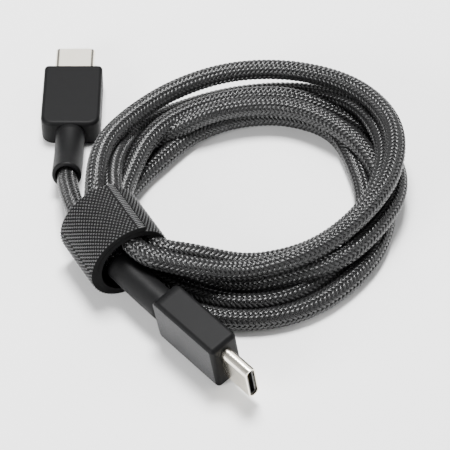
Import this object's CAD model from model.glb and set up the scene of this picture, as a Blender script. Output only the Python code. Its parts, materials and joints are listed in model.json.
import json
import math
import bpy
import bmesh
from mathutils import Matrix, Vector

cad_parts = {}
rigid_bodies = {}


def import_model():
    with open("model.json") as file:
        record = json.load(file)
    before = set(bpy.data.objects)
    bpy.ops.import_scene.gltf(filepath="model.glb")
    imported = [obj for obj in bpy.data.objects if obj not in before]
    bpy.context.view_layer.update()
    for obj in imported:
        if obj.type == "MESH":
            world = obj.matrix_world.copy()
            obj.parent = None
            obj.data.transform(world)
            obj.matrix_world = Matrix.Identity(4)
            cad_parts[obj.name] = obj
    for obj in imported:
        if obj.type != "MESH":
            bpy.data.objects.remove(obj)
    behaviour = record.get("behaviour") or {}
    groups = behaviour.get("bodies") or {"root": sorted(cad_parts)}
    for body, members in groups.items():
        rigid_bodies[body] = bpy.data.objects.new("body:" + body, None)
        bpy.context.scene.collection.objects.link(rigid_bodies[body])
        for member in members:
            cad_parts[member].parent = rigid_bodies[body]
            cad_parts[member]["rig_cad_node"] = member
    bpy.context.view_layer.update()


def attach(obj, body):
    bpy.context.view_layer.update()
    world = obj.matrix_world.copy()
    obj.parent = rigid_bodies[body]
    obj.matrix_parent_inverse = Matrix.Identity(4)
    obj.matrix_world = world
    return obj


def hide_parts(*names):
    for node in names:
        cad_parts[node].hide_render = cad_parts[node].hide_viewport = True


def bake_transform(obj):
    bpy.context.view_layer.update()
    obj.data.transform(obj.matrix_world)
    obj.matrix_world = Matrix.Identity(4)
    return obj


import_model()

mm = 0.001


# camera at the viewing angle, far back with a long lens
camera = {"elevation": 48, "distance": 0.433, "lens": 176, "target": (0.01556, -0.0002, 0)}

lens = bpy.data.cameras.new("viewCamera")
lens.lens = camera["lens"]
lens.sensor_width = 36
viewCamera = bpy.data.objects.new("viewCamera", lens)
bpy.context.collection.objects.link(viewCamera)
tilt = math.radians(camera["elevation"])
away = Vector((0, -math.cos(tilt), math.sin(tilt)))
viewCamera.location = Vector(camera["target"]) + away * camera["distance"]
viewCamera.rotation_euler = away.to_track_quat("Z", "Y").to_euler()
bpy.context.scene.camera = viewCamera
print("camera placed")


# shader maths: a socket that adds, multiplies and feeds any node
class Wire:
    def __init__(self, tree, socket):
        self.tree, self.socket = tree, socket

    def feed(self, place, value):
        if isinstance(value, Wire):
            self.tree.links.new(value.socket, place)
        else:
            place.default_value = value

    def node(self, kind, output=0, first=0, feeds=None, **settings):
        made = self.tree.nodes.new(kind)
        for name, value in settings.items():
            setattr(made, name, value)
        if first is not None:
            self.feed(made.inputs[first], self)
        for name, value in (feeds or {}).items():
            self.feed(made.inputs[name], value)
        return Wire(self.tree, made.outputs[output])

    def math(self, operation, other=0.0):
        return self.node("ShaderNodeMath", operation=operation, feeds={1: other})

    def __add__(self, other):
        return self.math("ADD", other)

    def __sub__(self, other):
        return self.math("SUBTRACT", other)

    def __rsub__(self, other):
        return self * -1 + other

    def __mul__(self, other):
        return self.math("MULTIPLY", other)

    __radd__ = __add__
    __rmul__ = __mul__

    def noise(self, scale, detail=3):
        return self.node("ShaderNodeTexNoise", feeds={"Scale": scale, "Detail": detail})

    def blend(self, dark, light):
        return self.node("ShaderNodeMix", output=2, data_type="RGBA", feeds={6: (*dark, 1), 7: (*light, 1)})


def newMaterial(name, settings):
    material = bpy.data.materials.new(name)
    material.use_nodes = True
    shader = material.node_tree.nodes["Principled BSDF"]
    for socket, value in settings.items():
        shader.inputs[socket].default_value = value
    return material, shader


def coordinates(material, output="Object"):
    tree = material.node_tree
    source = tree.nodes.new("ShaderNodeTexCoord")
    return Wire(tree, source.outputs[output])


def bumped(wire, shader, depth, strength=1.0):
    normal = wire.node("ShaderNodeBump", first="Height", feeds={"Distance": depth, "Strength": strength})
    wire.feed(shader.inputs["Normal"], normal)


def grained(name, dark, light, roughness, grain, depth, spread=0.08, metallic=0.0, sheen=0.5):
    # one finish: mottled colour, uneven gloss and a fine surface grain
    material, shader = newMaterial(name, {"Metallic": metallic, "Specular IOR Level": sheen})
    where = coordinates(material)
    broad = where.noise(grain / 9)
    fine = where.noise(grain)
    where.feed(shader.inputs["Base Color"], broad.blend(dark, light))
    where.feed(shader.inputs["Roughness"], broad * spread + fine * spread + (roughness - spread))
    bumped(fine, shader, depth)
    return material


finishes = {
    "ribbed_plastic": grained("ribbedPlastic", (0.06, 0.06, 0.0615), (0.075, 0.075, 0.077), 0.42, 9000, 0.00001,
                              sheen=0.3),
    "housing_plastic": grained("housingPlastic", (0.0035, 0.0035, 0.0037), (0.005, 0.005, 0.0053), 0.5, 9000, 0.000012,
                               sheen=0.07),
    "plug_nickel": grained("plugNickel", (0.86, 0.81, 0.7), (0.9, 0.86, 0.76), 0.2, 2600, 0.000002, 0.05, metallic=1.0),
    "insulator_resin": grained("insulatorResin", (0.006, 0.006, 0.006), (0.01, 0.01, 0.01), 0.4, 6000, 0.000006),
    "contact_gold": grained("contactGold", (0.85, 0.62, 0.28), (0.9, 0.68, 0.34), 0.22, 4000, 0.000002, metallic=1.0),
    "spring_steel": grained("springSteel", (0.55, 0.55, 0.54), (0.62, 0.61, 0.6), 0.28, 5000, 0.000003, metallic=1.0),
    "card_laminate": grained("cardLaminate", (0.01, 0.06, 0.02), (0.015, 0.08, 0.03), 0.38, 4000, 0.000008),
    "capacitor_ceramic": grained("capacitorCeramic", (0.3, 0.2, 0.12), (0.36, 0.25, 0.15), 0.4, 6000, 0.000006),
    "chip_resin": grained("chipResin", (0.012, 0.012, 0.012), (0.018, 0.018, 0.018), 0.5, 8000, 0.000006),
    "shield_tin": grained("shieldTin", (0.6, 0.6, 0.58), (0.68, 0.67, 0.65), 0.33, 1800, 0.000006, metallic=1.0),
    "mould_resin": grained("mouldResin", (0.5, 0.49, 0.46), (0.56, 0.55, 0.51), 0.45, 3000, 0.00001),
    "crimp_brass": grained("crimpBrass", (0.62, 0.45, 0.2), (0.7, 0.52, 0.26), 0.3, 2500, 0.000006, metallic=1.0),
    "wire_insulation": grained("wireInsulation", (0.45, 0.06, 0.05), (0.5, 0.08, 0.06), 0.42, 3000, 0.000006),
    "sleeve_rubber": grained("sleeveRubber", (0.004, 0.004, 0.0042), (0.006, 0.006, 0.0063), 0.5, 7000, 0.00001,
                             sheen=0.09),
    "strap_weave": grained("strapBacking", (0.003, 0.003, 0.0032), (0.006, 0.006, 0.0062), 0.8, 7000, 0.00004,
                            sheen=0.1),
}

slots = {
    "housing_plastic": ["housing"],
    "plug_nickel": ["connector_shell"],
    "insulator_resin": ["contact_carrier"],
    "contact_gold": ["contacts_upper", "contacts_lower"],
    "spring_steel": ["latch_plate", "ground_spring_upper", "ground_spring_lower"],
    "card_laminate": ["paddle_card"],
    "capacitor_ceramic": ["bypass_capacitors"],
    "chip_resin": ["marker_chip"],
    "shield_tin": ["shield_can_upper", "shield_can_lower"],
    "mould_resin": ["inner_mould"],
    "crimp_brass": ["cord_crimp"],
    "wire_insulation": ["conductors"],
    "sleeve_rubber": ["strain_relief"],
    "strap_weave": ["strap_band", "strap_tail"],
}


def paint(piece, material):
    piece.data.materials.clear()
    piece.data.materials.append(material)
    "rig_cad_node" not in piece
    return piece


for piece in list(bpy.data.objects):
    node = piece.get("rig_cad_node")
    for slot, endings in slots.items():
        if node and any(node.endswith(ending) for ending in endings):
            paint(piece, finishes[slot])
print("CAD pieces painted")


# the cord: its ends are drawn by hand, its turns are worked out from a few stations each
cord = {
    "diameter": 4.1,
    "core": 1.72,
    "offFloor": 0.05,
    # how far from the strap's middle each turn leaves it and comes back
    "leavesAt": 7.5,
    "returnsAt": -8.0,
    "ringCentre": Vector((20.56, 3.8, 0)) * mm,
    "bearings": range(240, 240 + 13 * 24, 24),
    # in millimetres at those bearings, from the near side of the strap round to its far side
    "turns": [
        ([29.4, 30.1, 29.0, 27.6, 26.8, 26.5, 25.8, 24.4, 24.0, 22.6, 22.6, 25.2, 28.2],
         [2.2, 2.1, 2.1, 2.1, 2.1, 2.1, 4.6, 6.1, 6.1, 6.1, 5.8, 2.2, 2.2]),
        ([26.0, 26.0, 25.0, 23.6, 22.9, 22.5, 23.8, 26.1, 25.2, 23.6, 22.2, 20.9, 23.4],
         [2.6, 2.1, 2.1, 2.6, 2.3, 2.1, 2.1, 2.1, 2.1, 2.1, 2.1, 2.1, 2.3]),
        ([23.2, 22.0, 22.4, 24.6, 25.8, 28.9, 30.2, 30.8, 28.0, 26.0, 25.2, 24.4, 24.2],
         [4.2, 2.4, 4.6, 5.7, 5.6, 5.4, 3.6, 2.8, 4.9, 4.8, 4.8, 6.2, 6.2]),
        ([21.5, 18.2, 18.0, 19.2, 22.2, 25.2, 29.0, 32.2, 32.0, 29.8, 28.7, 28.4, 27.2],
         [8.6, 4.8, 4.8, 5.4, 7.6, 7.6, 7.3, 6.2, 2.6, 2.1, 2.3, 5.2, 8.6]),
        ([26.4, 21.9, 21.8, 21.8, 23.8, 27.2, 30.6, 32.4, 31.8, 30.2, 28.8, 28.6, 29.2],
         [10.2, 6.6, 8.2, 9.0, 10.8, 10.8, 10.0, 9.4, 8.8, 8.9, 9.0, 9.5, 10.9]),
    ],
    # across and up in the strap's loop, where the cord leaves it and where it comes back
    "leaves": [(0.0, -4.6), (3.5, -4.1), (4.9, -0.5), (3.1, 3.3), (-0.8, 4.5)],
    "returns": [(-2.4, -3.9), (1.8, -4.2), (4.4, -1.0), (3.2, 3.2), (-0.6, 4.4)],
    "backEnd": [(-15.74, 14.5, 3.05), (-15.74, 10.6, 3.9), (-15.4, 4.6, 6.2), (-13.02, -5.06, 8.9)],
    "frontEnd": [(-9.23, -10.61, 6.3), (-5.76, -14.59, 6.55), (-0.24, -21.31, 6.5)],
}

strap = {"centre": Vector((-5.14, -10.9, 7.6)) * mm, "across": Vector((0.8660, 0.5, 0)),
         "along": Vector((0.5, -0.8660, 0)), "width": 12.9 * mm,
         # degrees round the strap: its cut end's strip, the flap, the hinge, the lap's end and the band's end
         "strip": 74.5, "flap": 80, "hinge": 170, "lapEnd": 262, "bandEnd": 428,
         # millimetres from its middle: the lapped face, how much it thins, the band's face and the wedge's foot
         "outer": 8.7, "thins": 1.08, "band": 7.6, "foot": 7.55}


def inStrap(across, up, along):
    return strap["centre"] + (strap["across"] * across + Vector((0, 0, up)) + strap["along"] * along) * mm


def settle(places):
    # moves touching turns apart in one slice across the coil, and keeps them on the floor
    gap = cord["diameter"]
    for _ in range(80):
        for i, a in enumerate(places):
            for b in places[i + 1:]:
                apart = Vector((b[0] - a[0], b[1] - a[1]))
                push = (gap - apart.length) / 2
                if push > 0:
                    step = apart.normalized() * push
                    a[0], a[1] = a[0] - step.x, a[1] - step.y
                    b[0], b[1] = b[0] + step.x, b[1] + step.y
        for place in places:
            place[1] = max(place[1], gap / 2 + cord["offFloor"])


def coilPoints():
    # the curve runs inside its points, so they stand that much further out
    spread = 1 / math.cos(math.radians(cord["bearings"].step / 2))
    slices = []
    for i, bearing in enumerate(cord["bearings"]):
        places = [[radii[i], heights[i]] for radii, heights in cord["turns"]]
        settle(places)
        out = Vector((math.cos(math.radians(bearing)), math.sin(math.radians(bearing)), 0))
        slices.append([cord["ringCentre"] + (out * r * spread + Vector((0, 0, z))) * mm for r, z in places])
    points = []
    for turn in range(len(cord["turns"])):
        points.append(inStrap(*cord["leaves"][turn], cord["leavesAt"]))
        points += [places[turn] for places in slices]
        points.append(inStrap(*cord["returns"][turn], cord["returnsAt"]))
    return points


cordPoints = [Vector(p) * mm for p in cord["backEnd"]] + [inStrap(-4.0, 0.6, -2.0)]
cordPoints += coilPoints()
cordPoints += [Vector(p) * mm for p in cord["frontEnd"]]


def curveThrough(name, points, bevel):
    data = bpy.data.curves.new(name, "CURVE")
    data.dimensions = "3D"
    data.resolution_u = 12
    data.bevel_depth = bevel / mm
    data.use_fill_caps = bevel > 0
    spline = data.splines.new("NURBS")
    spline.points.add(len(points) - 1)
    for place, point in zip(spline.points, points):
        place.co = (*point, 1)
        place.radius = mm
    spline.order_u = 3
    spline.use_endpoint_u = True
    curve = bpy.data.objects.new(name, data)
    bpy.context.collection.objects.link(curve)
    return curve


route = curveThrough("cordRoute", cordPoints, 0)
routeMesh = bpy.data.meshes.new_from_object(route)
path = [v.co.copy() for v in routeMesh.vertices]
bpy.data.objects.remove(route)

cordPiece = curveThrough("cordCore", cordPoints, cord["core"] * mm)
paint(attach(cordPiece, "cord"), finishes["insulator_resin"])
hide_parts("cord_coil", "cord_tail_back", "cord_tail_front")


def placed(name, data, smooth=True):
    for face in data.polygons:
        face.use_smooth = smooth
    piece = bpy.data.objects.new(name, data)
    bpy.context.collection.objects.link(piece)
    return piece


def meshPiece(name, work, smooth=True):
    bmesh.ops.recalc_face_normals(work, faces=work.faces)
    data = bpy.data.meshes.new(name)
    work.to_mesh(data)
    work.free()
    return placed(name, data, smooth)


def copies(name, template, places, smooth=True):
    # one mesh holding the template once for each matrix in places
    points = [vert.co.copy() for vert in template.verts]
    outlines = [[vert.index for vert in face.verts] for face in template.faces]
    template.free()
    corners, faces = [], []
    for place in places:
        start = len(corners)
        corners += [place @ point for point in points]
        faces += [[start + corner for corner in outline] for outline in outlines]
    data = bpy.data.meshes.new(name)
    data.from_pydata(corners, [], faces)
    return placed(name, data, smooth)


# the braid: flat yarns, as many each way round, two over and two under
yarn = {"perWay": 12, "pitch": 11.6 * mm, "middle": 1.76 * mm, "wave": 0.12 * mm, "step": 0.25 * mm,
        "floats": 6,
        "section": [(-0.36, -0.08), (-0.24, 0.09), (0, 0.17), (0.24, 0.09), (0.36, -0.08), (0, -0.14)]}


def framesAlong(points, step):
    # evenly spaced places on the route, each with an untwisted pair of side directions
    frames = []
    side = Vector((0, 0, 1))
    walked = due = 0.0
    for a, b in zip(points, points[1:]):
        piece = b - a
        forward = piece.normalized()
        side = (side - forward * side.dot(forward)).normalized()
        while due <= walked + piece.length:
            frames.append((due, a + forward * (due - walked), side.copy(), forward.cross(side)))
            due += step
        walked += piece.length
    return frames


def yarnRings(frames, way, index):
    turned = 2 * math.pi / yarn["pitch"] * way
    spots = []
    for along, centre, side, other in frames:
        angle = along * turned + 2 * math.pi * index / yarn["perWay"]
        lift = max(-1.0, min(1.0, 1.1 * math.cos(yarn["floats"] * angle))) * way
        out = side * math.cos(angle) + other * math.sin(angle)
        spots.append((centre + out * (yarn["middle"] + yarn["wave"] * lift), out))
    rings = []
    for (before, _), (spot, out), (after, _) in zip(spots, spots[1:], spots[2:]):
        across = (after - before).normalized().cross(out)
        rings.append([spot + (across * x + out * y) * mm for x, y in yarn["section"]])
    return rings


frames = framesAlong(path, yarn["step"])
braid = []
for group in range(yarn["perWay"] // 2):
    corners, faces = [], []
    wide = len(yarn["section"])
    for n in range(group * 4, group * 4 + 4):
        way = 1 if n < yarn["perWay"] else -1
        start = len(corners)
        rings = yarnRings(frames, way, n % yarn["perWay"])
        corners += [corner for ring in rings for corner in ring]
        faces += [(start + r * wide + c, start + r * wide + (c + 1) % wide,
                   start + (r + 1) * wide + (c + 1) % wide, start + (r + 1) * wide + c)
                  for r in range(len(rings) - 1) for c in range(wide)]
    name = "yarns" + "ABCDEF"[group]
    data = bpy.data.meshes.new(name)
    data.from_pydata(corners, [], faces)
    across = data.attributes.new("acrossYarn", "FLOAT", "POINT")
    across.data.foreach_set("value", [yarn["section"][v % wide][0] for v in range(len(corners))])
    braid.append(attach(placed(name, data), "cord"))
print("braid:", len(frames), "places,", sum(len(p.data.polygons) for p in braid), "faces")

yarnMaterial, yarnShader = newMaterial("yarnNylon", {"Sheen Weight": 0.02, "Sheen Roughness": 0.4,
                                                     "Specular IOR Level": 0.45})
where = coordinates(yarnMaterial)
filaments = where.node("ShaderNodeAttribute", output=2, first=None, attribute_name="acrossYarn")
threads = (filaments * 62).math("SINE")
mottle = where.noise(1500)
where.feed(yarnShader.inputs["Base Color"], mottle.blend((0.006, 0.006, 0.0062), (0.014, 0.014, 0.0143)))
where.feed(yarnShader.inputs["Roughness"], mottle * 0.06 + 0.24)
bumped(threads + mottle * 0.5, yarnShader, 0.000006, 0.7)
for piece in braid:
    paint(piece, yarnMaterial)

braid + ["front_housing", "front_connector_shell"]


# fine slanted ribs on one broad face of each housing
ribs = {"pitch": 0.58, "slant": 33, "width": 0.22, "height": 0.07, "from": -16.5, "to": -0.8, "half": 5.25,
        "face": -3.05, "shortest": 0.5}
shellReach = 6.65
plugs = {
    "front": {"tip": Vector((20.48, -44.57, 6.5)) * mm, "x": Vector((0.66523, -0.746638, 0)),
              "y": Vector((0.1168, 0.104065, -0.987688))},
    "back": {"tip": Vector((-15.74, 45.65, 3.05)) * mm, "x": Vector((0, 1, 0)), "y": Vector((-1, 0, 0))},
}


def plugMatrix(plug):
    z = plug["x"].cross(plug["y"])
    turn = Matrix((plug["x"], plug["y"], z)).transposed().to_4x4()
    return Matrix.Translation(plug["tip"] - plug["x"] * shellReach * mm) @ turn @ Matrix.Scale(mm, 4)


def ribBar():
    work = bmesh.new()
    bmesh.ops.create_cube(work, size=1)
    long = [e for e in work.edges if abs(e.verts[0].co.x - e.verts[1].co.x) > 0.5 and e.verts[0].co.z < 0]
    bmesh.ops.bevel(work, geom=long, offset=0.28, segments=3, profile=0.5, affect="EDGES", material=-1)
    work.verts.index_update()
    return work


def ribPlaces():
    # every rib runs slantwise across the face and stops at its borders
    slope = math.tan(math.radians(ribs["slant"]))
    angle = Matrix.Rotation(math.atan2(1, slope), 4, "Z")
    places = []
    reach = slope * ribs["half"]
    middle = ribs["from"] - reach
    while middle < ribs["to"] + reach:
        low = max(-ribs["half"], (ribs["from"] - middle) / slope)
        high = min(ribs["half"], (ribs["to"] - middle) / slope)
        if high - low > ribs["shortest"]:
            long = (high - low) * math.hypot(1, slope)
            centre = (middle + slope * (low + high) / 2, (low + high) / 2, ribs["face"])
            places.append(Matrix.Translation(centre) @ angle
                          @ Matrix.Diagonal((long, ribs["width"], 2 * ribs["height"], 1)))
        middle += ribs["pitch"]
    return places


for end, plug in plugs.items():
    matrix = plugMatrix(plug)
    piece = copies(end + "Ribs", ribBar(), [matrix @ place for place in ribPlaces()], False)
    paint(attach(piece, end + "_plug"), finishes["ribbed_plastic"])
print("ribs laid")


# the sleeves bend between the cord and their plug, so they are cut across along their length
# "rear" is from the plug's tip to the back of its housing
sleeve = {"rear": 23.85, "length": 14.2, "cuts": 14, "merge": 0.001 * mm}
for end, plug in plugs.items():
    solid = next(piece for piece in bpy.data.objects if piece.get("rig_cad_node") == end + "_strain_relief")
    rear = plug["tip"] - plug["x"] * sleeve["rear"] * mm
    mouth = rear - plug["x"] * sleeve["length"] * mm
    work = bmesh.new()
    work.from_mesh(solid.data)
    bmesh.ops.transform(work, matrix=solid.matrix_world, verts=work.verts)
    bmesh.ops.remove_doubles(work, verts=work.verts, dist=sleeve["merge"])
    for i in range(1, sleeve["cuts"]):
        spot = rear.lerp(mouth, i / sleeve["cuts"])
        whole = work.verts[:] + work.edges[:] + work.faces[:]
        bmesh.ops.bisect_plane(work, geom=whole, plane_co=spot, plane_no=plug["x"])
    piece = meshPiece(end + "Sleeve", work)
    piece.data.set_sharp_from_angle(angle=math.radians(35))
    paint(piece, finishes["sleeve_rubber"])
    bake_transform(piece)
    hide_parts(end + "_strain_relief")
print("sleeves made")


# the strap's woven face: staggered loops on its outer side
weave = {"aroundPitch": 0.84, "acrossPitch": 0.48, "loop": (0.17, 0.14, 0.24), "rib": (0.75, 0.15, 0.12),
         "edge": 0.3, "lift": 0.02, "underside": -0.965}
strapMaterial, strapShader = newMaterial("strapLoops", {"Sheen Weight": 0.8, "Sheen Roughness": 0.3})
where = coordinates(strapMaterial)
mottle = where.noise(2600)
where.feed(strapShader.inputs["Base Color"], mottle.blend((0.03, 0.03, 0.0305), (0.07, 0.07, 0.0715)))
where.feed(strapShader.inputs["Roughness"], mottle * 0.2 + 0.36)
bumped(mottle, strapShader, 0.00003)


def onStrap(angle, radius, along, size):
    # a matrix standing on the strap's outer side, long way round it
    turn = math.radians(angle)
    out = strap["across"] * math.cos(turn) + Vector((0, 0, math.sin(turn)))
    around = strap["across"] * -math.sin(turn) + Vector((0, 0, math.cos(turn)))
    axes = Matrix((around, strap["along"], out)).transposed().to_4x4()
    spot = strap["centre"] + (out * radius + strap["along"] * along) * mm
    return Matrix.Translation(spot) @ axes @ Matrix.Diagonal((*[s * mm for s in size], 1))


def wrapRadius(angle):
    # the lapped layer thins down to the band below it
    share = min(1, max(0, (angle - strap["hinge"]) / (strap["lapEnd"] - strap["hinge"])))
    return strap["outer"] - strap["thins"] * share ** 1.5


def loopTemplate():
    template = bmesh.new()
    bmesh.ops.create_uvsphere(template, u_segments=8, v_segments=6, radius=1)
    template.verts.index_update()
    return template


rows = int((strap["width"] / mm - weave["edge"]) / weave["acrossPitch"])


def loopField(name, radiusAt, first, last, body):
    stepAngle = math.degrees(weave["aroundPitch"] / radiusAt(first))
    places = []
    for row in range(rows + 1):
        along = (row - rows / 2) * weave["acrossPitch"]
        angle = first + stepAngle * (0.5 + row % 2 * 0.5)
        while angle < last:
            if math.sin(math.radians(angle)) > weave["underside"]:
                places.append(onStrap(angle, radiusAt(angle) + weave["lift"], along, weave["loop"]))
            angle += stepAngle
    paint(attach(copies(name, loopTemplate(), places), body), strapMaterial)


def endRibs():
    # the pressed strip at the strap's cut end
    places = [onStrap(strap["strip"], strap["outer"], (row - rows / 2) * weave["acrossPitch"], weave["rib"])
              for row in range(rows + 1)]
    paint(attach(copies("tailEndRibs", loopTemplate(), places), "strap_flap"), strapMaterial)


def lapWedge():
    # the lapped layer where it runs down into the band
    steps = 14
    work = bmesh.new()
    angles = [strap["hinge"] + (strap["lapEnd"] - strap["hinge"]) * i / steps for i in range(steps + 1)]
    outline = [(angle, wrapRadius(angle)) for angle in angles] + [(angle, strap["foot"]) for angle in reversed(angles)]
    side = -strap["width"] / mm / 2
    corners = [work.verts.new(onStrap(angle, radius, side, (1, 1, 1)).translation) for angle, radius in outline]
    face = work.faces.new(corners)
    grown = bmesh.ops.extrude_face_region(work, geom=[face])
    moved = [item for item in grown["geom"] if isinstance(item, bmesh.types.BMVert)]
    bmesh.ops.translate(work, verts=moved, vec=strap["along"] * strap["width"])
    paint(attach(meshPiece("lapWedge", work, False), "cord"), finishes["strap_weave"])


lapWedge()
loopField("lapLoops", wrapRadius, strap["hinge"] + 1, strap["lapEnd"], "cord")
loopField("bandLoops", lambda angle: strap["band"], strap["lapEnd"], strap["bandEnd"], "cord")
loopField("tailLoops", wrapRadius, strap["flap"], strap["hinge"], "strap_flap")
endRibs()
print("strap woven")


# floor, wide soft lights and a white surround
floorMesh = bmesh.new()
bmesh.ops.create_grid(floorMesh, x_segments=1, y_segments=1, size=1.5)
floor = meshPiece("floor", floorMesh, False)
floorMaterial, floorShader = newMaterial("paleFloor", {"Roughness": 0.9})
where = coordinates(floorMaterial)
where.feed(floorShader.inputs["Base Color"], where.noise(40).blend((0.84, 0.84, 0.84), (0.87, 0.87, 0.87)))
floor.data.materials.append(floorMaterial)

lights = {
    "keyLight": {"at": (0.0, 0.16, 0.6), "size": 0.2, "power": 12},
    "backPanel": {"at": (0.0, 0.62, 0.62), "size": 0.7, "power": 3},
    "leftLight": {"at": (-0.45, -0.42, 0.25), "size": 0.35, "power": 7},
    "rightLight": {"at": (0.6, -0.1, 0.3), "size": 0.5, "power": 2},
}
for name, light in lights.items():
    data = bpy.data.lights.new(name, "AREA")
    data.size = light["size"]
    data.energy = light["power"]
    lamp = bpy.data.objects.new(name, data)
    bpy.context.collection.objects.link(lamp)
    lamp.location = light["at"]
    lamp.rotation_euler = (Vector(light["at"]) - Vector(camera["target"])).to_track_quat("Z", "Y").to_euler()
world = bpy.data.worlds.new("studio")
bpy.context.scene.world = world
world.use_nodes = True
surround = world.node_tree.nodes["Background"]
surround.inputs["Color"].default_value = (1, 1, 1, 1)
surround.inputs["Strength"].default_value = 0.3
